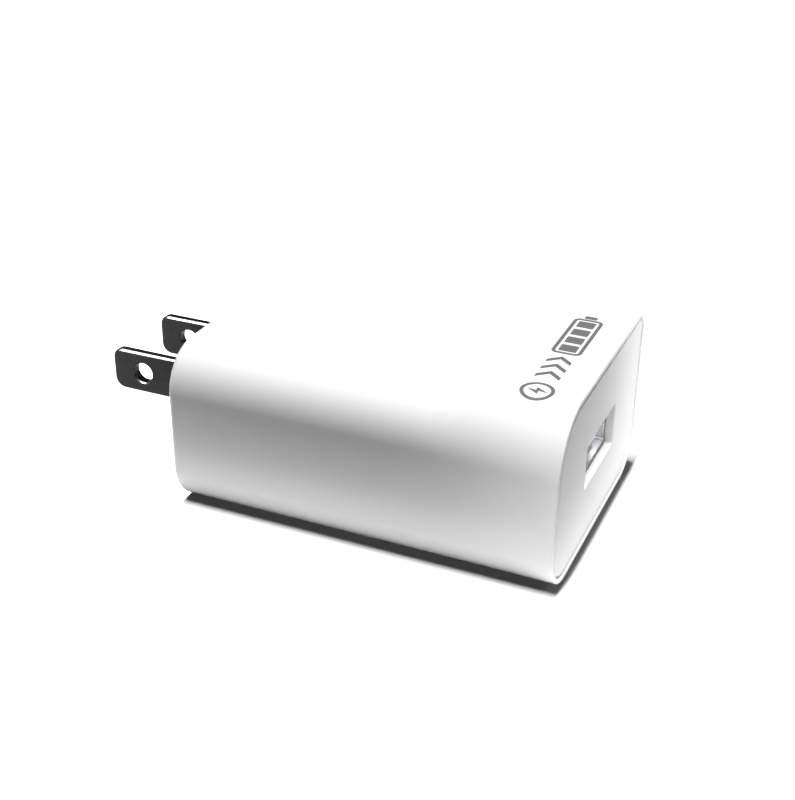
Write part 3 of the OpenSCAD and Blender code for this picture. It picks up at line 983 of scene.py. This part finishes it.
@dataclass
class PlugBlade:
    """One plug blade: a stamped strip with rounded tip corners, softened edges and a punched hole.

    The bevel's line gives its depth from the face and its inset from the
    edge, as shares of its size.
    """

    node: str
    name: str
    width: float = 6.35 * MM
    tip_r: float = 1.6 * MM
    bevel: float = 0.35 * MM
    hole_r: float = 1.55 * MM
    hole_x: float = -12.3 * MM
    hole_edge: float = 0.15 * MM
    shoulder: tuple[float, float] = (9.0 * MM, 1.2 * MM)
    tail_w: float = 4.0 * MM
    plug_wall: float = 3.2 * MM
    bevel_line: tuple[tuple[float, float], ...] = ((0.0, 1.0), (0.1, 0.78), (0.78, 0.1), (1.0, 0.0))
    tip_n: int = 16
    hole_n: int = 48
    sharp: float = 40.0

    def outline(self) -> Array:
        """The blade's outline as (x, z), anticlockwise.

        Returns:
            The points of its tail, shoulder, long edge and tip, and back again.
        """
        low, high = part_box(self.node)
        w, t = self.width / 2, self.tail_w / 2
        s, s_end = self.shoulder[0] / 2, self.plug_wall + self.shoulder[1]
        x0 = low.x + self.tip_r
        inner = [(high.x, -t), (high.x, t), (s_end, t), (s_end, s)]
        inner += [(self.plug_wall, s), (self.plug_wall, w)]
        tip = [
            arc((x0, w - self.tip_r), self.tip_r, 90, 90, self.tip_n),
            arc((x0, -w + self.tip_r), self.tip_r, 180, 90, self.tip_n),
        ]
        back = [(self.plug_wall, -w), (self.plug_wall, -s), (s_end, -s), (s_end, -t)]
        return np.vstack([inner, *tip, back])

    @staticmethod
    def lay(points: Array, y: float) -> Array:
        """Gives an x-z outline its place along y."""
        return np.column_stack([points[:, 0], np.full(len(points), y), points[:, 1]])

    def build(self) -> bpy.types.Object:
        """Rings of the outline step in over each bevel, and both faces are filled round the hole.

        Returns:
            The blade, which stands for the CAD one.
        """
        low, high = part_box(self.node)
        middle, half = (low.y + high.y) / 2, (high.y - low.y) / 2
        outline = self.outline()
        hole = circle((self.hole_x, 0.0), self.hole_r, self.hole_n)
        draft = Draft()
        turn = self.bevel * np.array(self.bevel_line)
        side = [(half - d, i) for d, i in turn] + [(d - half, i) for d, i in turn[::-1]]
        outer = draft.rings([self.lay(offset_in(outline, i), middle + y) for y, i in side])
        punch = [(half, -self.hole_edge), (half - self.hole_edge, 0.0)]
        punch += [(-y, i) for y, i in punch[::-1]]
        inner = draft.rings([self.lay(offset_in(hole, i), middle + y) for y, i in punch])
        draft.cap([outer[0], inner[0]], Flat.XZ)
        draft.cap([outer[-1], inner[-1]], Flat.XZ)
        piece = draft.make(self.name, self.sharp)
        piece.data.materials.append(BLADE_METAL.build())
        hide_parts(self.node)
        return piece


# ---- the USB socket ------------------------------------------------------------


@dataclass
class SocketShell:
    """The socket's folded steel shell: a tube with a turned lip, a flange, fingers and board tabs."""

    wall: float = 0.3 * MM
    tube_w: float = 13.1 * MM
    tube_h: float = 5.72 * MM
    corner_r: float = 0.6 * MM
    lip_r: float = 0.12 * MM
    flange_w: float = 0.45 * MM
    flange_from: float = 0.4 * MM
    finger_w: float = 1.7 * MM
    finger_t: float = 0.21 * MM
    finger_r: float = 0.08 * MM
    finger_l: float = 5.2 * MM
    finger_n: int = 13
    finger_depth: float = 0.33 * MM
    finger_dip: float = 0.42 * MM
    finger_from: float = 1.6 * MM
    finger_y: tuple[float, float] = (-3.0 * MM, 3.0 * MM)
    tab_from: float = 4.0 * MM
    tab_l: float = 2.0 * MM
    tab_soft: float = 0.05 * MM
    lip_n: int = 4

    def tube(self, grow: float) -> Array:
        """The tube's outline, moved out by some amount from its outside."""
        return rounded_box(self.tube_w + 2 * grow, self.tube_h + 2 * grow, self.corner_r + grow)

    def fingers(self, draft: Draft, front: float) -> None:
        """Leaf springs on the upper and lower walls, each dipping inwards by a half sine.

        Args:
            draft: takes the fingers.
            front: the place of the shell's mouth.
        """
        leaf = rounded_box(self.finger_w, self.finger_t, self.finger_r, 3)
        reach = self.tube_h / 2 - self.finger_depth
        run = np.linspace(0.0, 1.0, self.finger_n)
        for side in (-1, 1):
            for y in self.finger_y:
                along = front - self.finger_from - self.finger_l * run
                across = side * (reach - self.finger_dip * np.sin(math.pi * run))
                draft.bar([stand_up(leaf + [y, z], x) for x, z in zip(along, across)])

    def build(self) -> bpy.types.Object:
        """Carries the wall's section round the tube, then adds the fingers and tabs.

        Returns:
            The shell, which stands for the CAD one.
        """
        low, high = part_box("usb_shell")
        front, back, inside = high.x, low.x, -self.wall
        flange = front - self.flange_from
        line = [(back, 0.0), (flange, 0.0), (flange, self.flange_w)]
        line += [(flange + self.wall, self.flange_w), (flange + self.wall, 0.0)]
        turn = rounding(self.lip_r, self.lip_n)
        line += [(front - d, -i) for d, i in turn]
        line += [(front - d, inside + i) for d, i in turn[::-1]]
        line += [(back, inside)]
        draft = Draft()
        draft.torus([stand_up(self.tube(grow), x) for x, grow in line])
        self.fingers(draft, front)
        for side in (-1, 1):
            y = side * (self.tube_w - self.wall) / 2
            corner = (back + self.tab_from, y - self.wall / 2, self.tube_h / 2 - self.wall)
            opposite = (back + self.tab_from + self.tab_l, y + self.wall / 2, high.z)
            draft.bar(soft_box(corner, opposite, self.tab_soft))
        piece = draft.make("usb_socket_shell")
        piece.data.materials.append(SOCKET_STEEL.build())
        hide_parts("usb_shell")
        return piece


@dataclass
class SocketTongue:
    """The socket's insulator: a block in the shell's back and a tongue with ribs beside its contacts."""

    block_l: float = 2.0 * MM
    width: float = 11.1 * MM
    thickness: float = 1.84 * MM
    nose: float = 0.3 * MM
    rib_h: float = 0.24 * MM
    rib_gap: float = 0.08 * MM
    rib_root: float = 0.1 * MM
    rib_sunk: float = 0.4 * MM
    rib_soft: float = 0.06 * MM
    block_soft: float = 0.25 * MM
    sharp: float = 25.0

    def build(self) -> bpy.types.Object:
        """Stacks chamfered bars: the block, the tongue and a rib between each two contacts.

        Returns:
            The insulator, which stands for the CAD one.
        """
        low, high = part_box("usb_tongue")
        block_x, half = low.x + self.block_l, self.width / 2
        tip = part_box("usb_contact_1")[1].x
        contacts = [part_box(f"usb_contact_{i}") for i in CONTACTS]
        spans = [(first.y, last.y) for first, last in contacts]
        edges = [-half, *(y for span in sorted(spans) for y in span), half]
        draft = Draft()
        draft.bar(soft_box(tuple(low), (block_x, high.y, high.z), self.block_soft))
        draft.bar(soft_box((block_x - self.nose, -half, -self.thickness), (high.x, half, 0.0), self.nose))
        for at, (start, end) in enumerate(zip(edges[::2], edges[1::2])):
            before = self.rib_gap if at else 0.0
            after = self.rib_gap if at < len(spans) else 0.0
            corner = (block_x - self.rib_root, start + before, -self.rib_sunk)
            draft.bar(soft_box(corner, (tip, end - after, self.rib_h), self.rib_soft))
        piece = draft.make("usb_socket_tongue", self.sharp)
        piece.data.materials.append(SOCKET_RESIN.build())
        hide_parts("usb_tongue")
        return piece


# ---- the printed mark ----------------------------------------------------------


@dataclass
class PrintedMark:
    """A printed pictogram on the top face: a bolt in a ring, three chevrons and a battery.

    It is drawn in a plane of its own, along the charger's width and upwards
    towards the plug, and laid on the surface. The chevrons' and the knob's
    shares are of the battery's height. Half the bolt is given, in millimetres.
    """

    sleeve: Sleeve
    middle_x: float = 48.55 * MM
    ring_at: float = -11.5 * MM
    ring_r: float = 2.2 * MM
    stroke: float = 0.5 * MM
    chevrons_from: float = -7.9 * MM
    chevron_pitch: float = 2.3 * MM
    battery: tuple[float, float] = (-0.2 * MM, 11.5 * MM)
    battery_h: float = 4.1 * MM
    battery_r: float = 0.9 * MM
    knob_gap: float = 0.2 * MM
    knob_l: float = 0.9 * MM
    knob_share: float = 0.42
    knob_r: float = 0.2 * MM
    bars: int = 4
    bar_gap: float = 0.35 * MM
    bar_r: float = 0.15 * MM
    chevrons: int = 3
    chevron_t: float = 0.85 * MM
    chevron_l: float = 2.25 * MM
    chevron_share: float = 0.8
    bolt_half: tuple[tuple[float, float], ...] = ((0.25, 1.45), (-0.85, -0.2), (-0.05, -0.2))
    bolt_n: int = 60
    ring_n: int = 72
    lift: float = 0.02 * MM

    def bolt(self) -> Array:
        """A lightning bolt about the ring's middle, resampled so that it can follow the rounded edge."""
        half = np.array(self.bolt_half) * MM
        return resample(np.vstack([half, -half]), self.bolt_n) + [self.ring_at, 0.0]

    def chevron(self, start: float) -> Array:
        """An arrow head without a stem, pointing along the width.

        Args:
            start: its place along the width.

        Returns:
            Its corners.
        """
        h, t, tip = self.battery_h / 2 * self.chevron_share, self.chevron_t, self.chevron_l
        corners = [(0.0, h), (t, h), (tip, 0.0), (t, -h), (0.0, -h), (tip - t, 0.0)]
        return np.array(corners) + [start, 0.0]

    def box(self, start: float, end: float, height: float, radius: float) -> Array:
        """A rectangle with round corners between two places along the width."""
        return rounded_box(end - start, height, radius) + [(start + end) / 2, 0.0]

    def shapes(self) -> list[list[Array]]:
        """Every inked shape as its outer outline followed by any holes.

        Returns:
            The ring, the bolt, the chevrons, and the battery's case, knob and bars.
        """
        radii = (self.ring_r, self.ring_r - self.stroke)
        ring = [circle((self.ring_at, 0.0), radius, self.ring_n) for radius in radii]
        heads = [[self.chevron(self.chevrons_from + self.chevron_pitch * i)] for i in range(self.chevrons)]
        start, end = self.battery
        s, h, gap = self.stroke, self.battery_h, self.bar_gap
        case = [
            self.box(start, end, h, self.battery_r),
            self.box(start + s, end - s, h - 2 * s, self.battery_r - s),
        ]
        knob_at = end + self.knob_gap
        knob = [self.box(knob_at, knob_at + self.knob_l, h * self.knob_share, self.knob_r)]
        room = (end - start - 2 * s) / self.bars
        firsts = [start + s + room * i for i in range(self.bars)]
        bars = [[self.box(f + gap, f + room - gap, h - 2 * s - 2 * gap, self.bar_r)] for f in firsts]
        return [ring, [self.bolt()], *heads, case, knob, *bars]

    def lay(self, outline: Array, lift: float) -> Array:
        """Puts an outline on the top face, or a little above or below it."""
        x, y = self.middle_x - outline[:, 1], outline[:, 0]
        return np.column_stack([x, y, self.sleeve.crown_at(x, y) + lift])

    def build(self) -> bpy.types.Object:
        """Gives every shape a skirt and fills its upper and lower faces.

        Returns:
            The mark, a thin raised layer of ink.
        """
        draft = Draft()
        for shape in self.shapes():
            sides = [[self.lay(outline, lift) for lift in (-self.lift, self.lift)] for outline in shape]
            rings = [draft.rings(side) for side in sides]
            for end in (0, -1):
                draft.cap([ring[end] for ring in rings], Flat.XY)
        piece = draft.make("printed_mark")
        piece.data.materials.append(MARK_INK.build())
        return piece


# ---- light, floor and camera ---------------------------------------------------


@dataclass
class Studio:
    """The bleached floor, black flags, lamps and the camera.

    A lamp's width is how broad it looks, in degrees. The flags' and the
    skirt's places are on the floor.
    """

    azimuth: float = 23.178
    elevation: float = 27.699
    roll: float = 0.714
    distance: float = 202.244 * MM
    aim: tuple[float, float] = (-23.055 * MM, -6.569 * MM)
    lens: float = 60.3
    sensor: float = 36.0
    clip: float = 0.01
    surround: float = 0.02
    floor_size: float = 6.0
    layer: float = 0.05 * MM
    key: float = 4.9
    key_width: float = 20.0
    key_tilt: float = 8.0
    wash: float = 40.0
    near_flag: tuple[float, float, float, float] = (-22.0 * MM, -32.0 * MM, 49.0 * MM, -34.0 * MM)
    end_flag: tuple[float, float, float, float] = (65.0 * MM, -45.0 * MM, 67.0 * MM, 9.0 * MM)
    flag_h: float = 72.0 * MM
    strip_size: tuple[float, float] = (0.1, 1.28)
    strip_at: tuple[float, float, float] = (-0.042, -0.36, 2.0)
    floor_lift: float = 1.2
    box_power: float = 9.0
    box_size: float = 0.16
    box_at: tuple[float, float, float] = (-0.095, -0.122, 0.205)
    fill: float = 5.5
    headlamp_width: float = 8.0
    skirt_x: tuple[float, float] = (-1.0 * MM, 53.0 * MM)
    skirt_y: tuple[float, float] = (-22.5 * MM, -12.0 * MM)

    def camera(self, base_z: float) -> None:
        """Stands the camera back from the plug face's base point along its axes, turned by the roll.

        Args:
            base_z: the height of the charger's base.
        """
        az, el, roll = (math.radians(a) for a in (self.azimuth, self.elevation, self.roll))
        back = Vector((math.sin(az) * math.cos(el), -math.cos(az) * math.cos(el), math.sin(el)))
        right = Vector((math.cos(az), math.sin(az), 0.0))
        up = back.cross(right)
        across = right * math.cos(roll) + up * math.sin(roll)
        upward = up * math.cos(roll) - right * math.sin(roll)
        place = -across * self.aim[0] - upward * self.aim[1] + back * self.distance
        data = bpy.data.cameras.new("camera")
        data.lens = self.lens
        data.sensor_width = self.sensor
        data.clip_start = self.clip
        camera = bpy.data.objects.new("camera", data)
        turn = Matrix((across, upward, back)).transposed().to_4x4()
        camera.matrix_world = Matrix.Translation(place + Vector((0, 0, base_z))) @ turn
        bpy.context.scene.collection.objects.link(camera)
        bpy.context.scene.camera = camera

    def card(
        self, name: str, corners: list[tuple[float, float, float]], finish: Finish
    ) -> bpy.types.Object:
        """Adds one flat four-cornered piece of the studio.

        Args:
            name: its name.
            corners: its corners in order.
            finish: what it is made of.

        Returns:
            The card.
        """
        mesh = bpy.data.meshes.new(name)
        mesh.from_pydata(corners, [], [(0, 1, 2, 3)])
        mesh.materials.append(finish.build())
        card = bpy.data.objects.new(name, mesh)
        bpy.context.scene.collection.objects.link(card)
        return card

    def floor(self, base_z: float) -> bpy.types.Object:
        """Lays the floor that the camera sees, and just under it the board that polished faces mirror.

        The floor takes light from its own lamps alone, bright enough to bleach
        it, and throws it up at the sides. The board takes the key light, and
        only a mirrored ray gets past the floor to it.

        Args:
            base_z: the height of the charger's base.

        Returns:
            The floor.
        """
        s = self.floor_size / 2
        square = [(-s, -s), (s, -s), (s, s), (-s, s)]
        floor = self.card("floor", [(x, y, base_z) for x, y in square], FLOOR_PAINT)
        floor.visible_glossy = floor.visible_shadow = False
        board = self.card("bounce_board", [(x, y, base_z - self.layer) for x, y in square], BOARD_PAINT)
        board.visible_camera = False
        return floor

    def flags(self, base_z: float) -> None:
        """Stands black cards close to the near side and to the USB end.

        The camera doesn't see them and they block no lamp. They hold off what
        the floor would throw up at those two sides.

        Args:
            base_z: the height of the charger's base.
        """
        for name, (x0, y0, x1, y1) in {"near_flag": self.near_flag, "end_flag": self.end_flag}.items():
            top = base_z + self.flag_h
            corners = [(x0, y0, base_z), (x1, y1, base_z), (x1, y1, top), (x0, y0, top)]
            flag = self.card(name, corners, FLAG_CLOTH)
            flag.visible_camera = flag.visible_shadow = flag.visible_transmission = False

    def skirt(self, base_z: float) -> None:
        """Lays a narrow black strip along the near side, where the floor would light the lower rounding.

        Args:
            base_z: the height of the charger's base.
        """
        (x0, x1), (y0, y1) = self.skirt_x, self.skirt_y
        level = base_z + self.layer
        corners = [(x0, y0, level), (x1, y0, level), (x1, y1, level), (x0, y1, level)]
        strip = self.card("floor_skirt", corners, FLAG_CLOTH)
        strip.visible_camera = strip.visible_shadow = strip.visible_transmission = False

    @staticmethod
    def group(name: str, pieces: list[bpy.types.Object]) -> bpy.types.Collection:
        """Gathers pieces so that a lamp can light, or be blocked by, them alone.

        Args:
            name: the group's name.
            pieces: what goes in it.

        Returns:
            The group.
        """
        group = bpy.data.collections.new(name)
        for piece in pieces:
            group.objects.link(piece)
        return group

    @staticmethod
    def sun(name: str, energy: float, width: float, tilt: float = 0.0) -> bpy.types.Object:
        """Hangs a sun-like lamp overhead.

        Args:
            name: its name.
            energy: its strength.
            width: how broad it looks, in degrees.
            tilt: how far from straight above it hangs, towards the USB end, in degrees.

        Returns:
            The lamp.
        """
        lamp = bpy.data.lights.new(name, "SUN")
        lamp.energy = energy
        lamp.angle = math.radians(width)
        sun = bpy.data.objects.new(name, lamp)
        sun.rotation_euler = (0.0, math.radians(tilt), 0.0)
        bpy.context.scene.collection.objects.link(sun)
        return sun

    def headlamp(self, name: str, energy: float) -> bpy.types.Object:
        """Adds a sun-like lamp that shines the way the camera looks.

        Args:
            name: its name.
            energy: its strength.

        Returns:
            The lamp.
        """
        lamp = self.sun(name, energy, self.headlamp_width)
        lamp.rotation_euler = bpy.context.scene.camera.matrix_world.to_euler()
        return lamp

    def strip(self, floor: bpy.types.Object, body: list[bpy.types.Object]) -> None:
        """Hangs a strip lamp that bleaches the floor, where only the body throws a shadow.

        It reaches from straight above to the camera's side, which narrows the
        shadow under the near rounding, and hangs a little on the plug's side,
        which brings out the one beyond the USB end. A weak lamp from the
        camera's direction lifts the whole floor.

        Args:
            floor: the floor, which alone takes its light.
            body: the pieces that block it.
        """
        lamp = bpy.data.lights.new("floor_strip", "AREA")
        lamp.shape = "RECTANGLE"
        lamp.size, lamp.size_y = self.strip_size
        lamp.energy = self.wash * math.pi * self.strip_at[2] ** 2
        strip = bpy.data.objects.new("floor_strip", lamp)
        strip.location = self.strip_at
        strip.visible_camera = strip.visible_glossy = False
        only_floor = self.group("floor_alone", [floor])
        strip.light_linking.receiver_collection = only_floor
        strip.light_linking.blocker_collection = self.group("body_alone", body)
        bpy.context.scene.collection.objects.link(strip)
        lift = self.headlamp("floor_lift", self.floor_lift)
        lift.light_linking.receiver_collection = only_floor

    def blade_lamp(self, blades: list[bpy.types.Object]) -> None:
        """Stands a soft box where the blades' upper bevels mirror it to the camera.

        Args:
            blades: the blades, which alone take its light.
        """
        lamp = bpy.data.lights.new("soft_box", "AREA")
        lamp.size = self.box_size
        lamp.energy = self.box_power
        box = bpy.data.objects.new("soft_box", lamp)
        place = Vector(self.box_at)
        box.location = place
        box.rotation_euler = place.to_track_quat("Z", "Y").to_euler()
        box.visible_camera = False
        box.light_linking.receiver_collection = self.group("blades_alone", blades)
        bpy.context.scene.collection.objects.link(box)

    def lights(self, floor: bpy.types.Object, pieces: dict[str, bpy.types.Object]) -> None:
        """A broad key lamp overhead, a wash for the floor and small lamps for the blades and the socket.

        The surround is white to the camera and nearly dark to everything else.
        The key passes the floor by, so that it doesn't soften the shadow there.

        Args:
            floor: the floor that the camera sees.
            pieces: the charger's pieces by name.
        """
        world = bpy.data.worlds.new("surround")
        bpy.context.scene.world = world
        world.use_nodes = True
        backdrop = world.node_tree.nodes["Background"]
        backdrop.inputs["Color"].default_value = (1, 1, 1, 1)
        seen = add_node(world.node_tree, "ShaderNodeLightPath").outputs["Is Camera Ray"]
        level = add_node(
            world.node_tree, "ShaderNodeMapRange", {"To Min": self.surround, "To Max": 1.0}, {"Value": seen}
        )
        world.node_tree.links.new(level.outputs["Result"], backdrop.inputs["Strength"])
        key = self.sun("key", self.key, self.key_width, self.key_tilt)
        others = self.group("all_but_floor", [floor])
        others.collection_objects[0].light_linking.link_state = "EXCLUDE"
        key.light_linking.receiver_collection = others
        self.strip(floor, [pieces["housing_sleeve"], pieces["front_cover_plate"]])
        self.blade_lamp([pieces["line_plug_blade"], pieces["neutral_plug_blade"]])
        fill = self.headlamp("socket_fill", self.fill)
        socket = [pieces["usb_socket_shell"], pieces["usb_socket_tongue"]]
        fill.light_linking.receiver_collection = self.group("socket_alone", socket)


def dress_inside(nodes: dict[str, bpy.types.Object]) -> None:
    """Gives every CAD node that stays its finish, each made once.

    Args:
        nodes: the CAD nodes' objects by name.
    """
    finishes = {
        **{f"usb_contact_{i}": CONTACT_GOLD for i in CONTACTS},
        "line_contact": CONTACT_BRASS,
        "neutral_contact": CONTACT_BRASS,
        "main_board": BOARD_LAMINATE,
        "fusible_resistor": RESISTOR_COAT,
        "bridge_rectifier": PACKAGE_RESIN,
        **{f"{side}_capacitor_{i}": CAN_METAL for side in ("input", "output") for i in (1, 2)},
        "capacitor_sleeves": SLEEVE_FILM,
        "choke_core": FERRITE,
        "choke_winding": CHOKE_WIRE,
        "transformer_core_primary": FERRITE,
        "transformer_core_secondary": FERRITE,
        "transformer_bobbin": PACKAGE_RESIN,
        "transformer_winding": COPPER_WIRE,
        "transformer_tape": TAPE_FILM,
        "transformer_pins": TINNED_WIRE,
        "controller_ic": PACKAGE_RESIN,
        "optocoupler": PACKAGE_RESIN,
        "y_capacitor": DISC_EPOXY,
        "output_diode": PACKAGE_RESIN,
        "chip_resistors": CHIP_DARK,
        "chip_capacitors": CHIP_TAN,
        "component_leads": TINNED_WIRE,
        "solder_joints": SOLDER,
        "insulating_sheet": FIBRE_CARD,
    }
    made: dict[str, bpy.types.Material] = {}
    for node, finish in finishes.items():
        if finish.name not in made:
            made[finish.name] = finish.build()
        slots = nodes[node].data.materials
        slots.clear()
        slots.append(made[finish.name])


def main() -> None:
    """Builds each sub-assembly round the frame, then the studio."""
    logging.basicConfig(level=logging.INFO, format="%(name)s: %(message)s")
    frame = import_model()
    sleeve = Sleeve()
    pieces = [
        sleeve.build(),
        EndCover(sleeve).build(),
        PlugBlade("line_blade", "line_plug_blade").build(),
        PlugBlade("neutral_blade", "neutral_plug_blade").build(),
        SocketShell().build(),
        SocketTongue().build(),
        PrintedMark(sleeve).build(),
    ]
    for piece in pieces:
        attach(piece, BODY)
        LOG.info("%s: %d faces", piece.name, len(piece.data.polygons))
    dress_inside(frame["nodes"])
    studio = Studio()
    studio.camera(sleeve.low.z)
    studio.flags(sleeve.low.z)
    studio.skirt(sleeve.low.z)
    studio.lights(studio.floor(sleeve.low.z), {piece.name: piece for piece in pieces})
    bpy.context.scene.view_settings.view_transform = "Standard"


if __name__ == "__main__":
    main()
